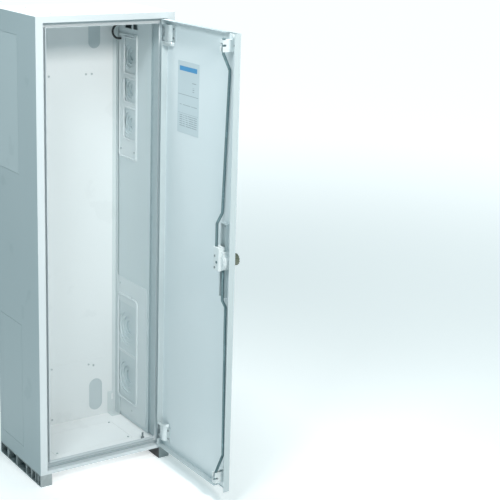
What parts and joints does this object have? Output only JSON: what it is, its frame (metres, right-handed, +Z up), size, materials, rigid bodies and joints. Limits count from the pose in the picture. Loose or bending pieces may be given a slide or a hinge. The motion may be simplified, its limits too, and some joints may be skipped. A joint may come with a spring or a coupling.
{
  "type": "switchboard cabinet",
  "caption": "Tall floor-standing sheet-steel switchboard cabinet on foot rails, with an open hinged door, knob-driven rod lock, lined interior and blanked cable entries.",
  "frame": {"origin": "on the floor under the centre of the cabinet body, at the centre of the four floor fixing holes", "axes": "+Z up, +X to the right seen from the front, -Y out of the front opening; the door stands open at a right angle about a vertical axis on the right"},
  "size_m": [0.6135, 0.9275, 1.9026],
  "materials": {
    "cable_sheath": "satin",
    "card": "matte",
    "cast_zinc": "satin",
    "door_paint": "semi-gloss",
    "entry_membrane": "matte",
    "foot_paint": "satin",
    "frame_paint": "semi-gloss",
    "guide_plastic": "satin",
    "knob_plastic": "satin",
    "liner_paint": "satin",
    "plate_paint": "satin",
    "screw_steel": "satin",
    "soft_seal": "matte",
    "zinc_steel": "satin"
  },
  "bodies": {
    "cabinet": {"blanking_cover_lower_left": "frame_paint", "blanking_cover_lower_right": "frame_paint", "blanking_cover_upper_left": "frame_paint", "blanking_cover_upper_right": "frame_paint", "cabinet_screws": "screw_steel", "cable_loop": "cable_sheath", "corner_rail_left": "cast_zinc", "corner_rail_right": "cast_zinc", "door_gasket": "soft_seal", "earth_stud": "screw_steel", "floor_cable_plate": "liner_paint", "floor_panel": "liner_paint", "foot_rail_left": "foot_paint", "foot_rail_right": "foot_paint", "frame_bottom": "frame_paint", "frame_left": "frame_paint", "frame_right": "frame_paint", "frame_top": "frame_paint", "hinge_bracket_lower": "cast_zinc", "hinge_bracket_upper": "cast_zinc", "hinge_pins": "screw_steel", "lower_entry_plate_left": "plate_paint", "lower_entry_plate_right": "plate_paint", "lower_grommets_left": "entry_membrane", "lower_grommets_right": "entry_membrane", "rail_bracket_left": "cast_zinc", "rail_bracket_right": "cast_zinc", "rear_inserts": "entry_membrane", "rear_panel": "frame_paint", "rear_plate_lower": "plate_paint", "rear_plate_upper": "plate_paint", "roof_cable_plate": "plate_paint", "roof_panel": "frame_paint", "side_liner_left": "liner_paint", "side_liner_right": "liner_paint", "side_panel_left": "frame_paint", "side_panel_right": "frame_paint", "upper_entry_plate_left": "plate_paint", "upper_entry_plate_right": "plate_paint", "upper_grommets_left": "entry_membrane", "upper_grommets_right": "entry_membrane"},
    "door": {"door_panel": "door_paint", "label_card": "card", "hinge_strap_upper": "cast_zinc", "hinge_strap_lower": "cast_zinc", "lock_case": "door_paint", "gear_housing": "guide_plastic", "rod_guide_upper": "guide_plastic", "rod_guide_lower": "guide_plastic", "knob_bezel": "knob_plastic", "door_screws": "screw_steel"},
    "lock_knob": {"knob": "knob_plastic", "lock_pinion": "zinc_steel"},
    "upper_rod": {"upper_rod": "zinc_steel", "upper_rack": "zinc_steel", "upper_latch_tip": "zinc_steel"},
    "lower_rod": {"lower_rod": "zinc_steel", "lower_rack": "zinc_steel", "lower_latch_tip": "zinc_steel"}
  },
  "joints": [
    {"name": "door_hinge", "type": "hinge", "parent": "cabinet", "child": "door", "pos_m": [0.26125, -0.19825, 0.9725], "axis": [0, 0, 1], "range_deg": [-90, 20]},
    {"name": "knob_turn", "type": "hinge", "parent": "door", "child": "lock_knob", "pos_m": [0.27, -0.6635, 1.002], "axis": [1, 0, 0], "range_deg": [0, 90]},
    {"name": "upper_rod_slide", "type": "slide", "parent": "door", "child": "upper_rod", "axis": [0, 0, 1], "range_m": [0, 0.01571]},
    {"name": "lower_rod_slide", "type": "slide", "parent": "door", "child": "lower_rod", "axis": [0, 0, -1], "range_m": [0, 0.01571]}
  ],
  "couplings": [
    {"joint": "knob_turn", "follows": "upper_rod_slide", "rad_per_m": 100},
    {"joint": "lower_rod_slide", "follows": "upper_rod_slide", "ratio": 1}
  ]
}
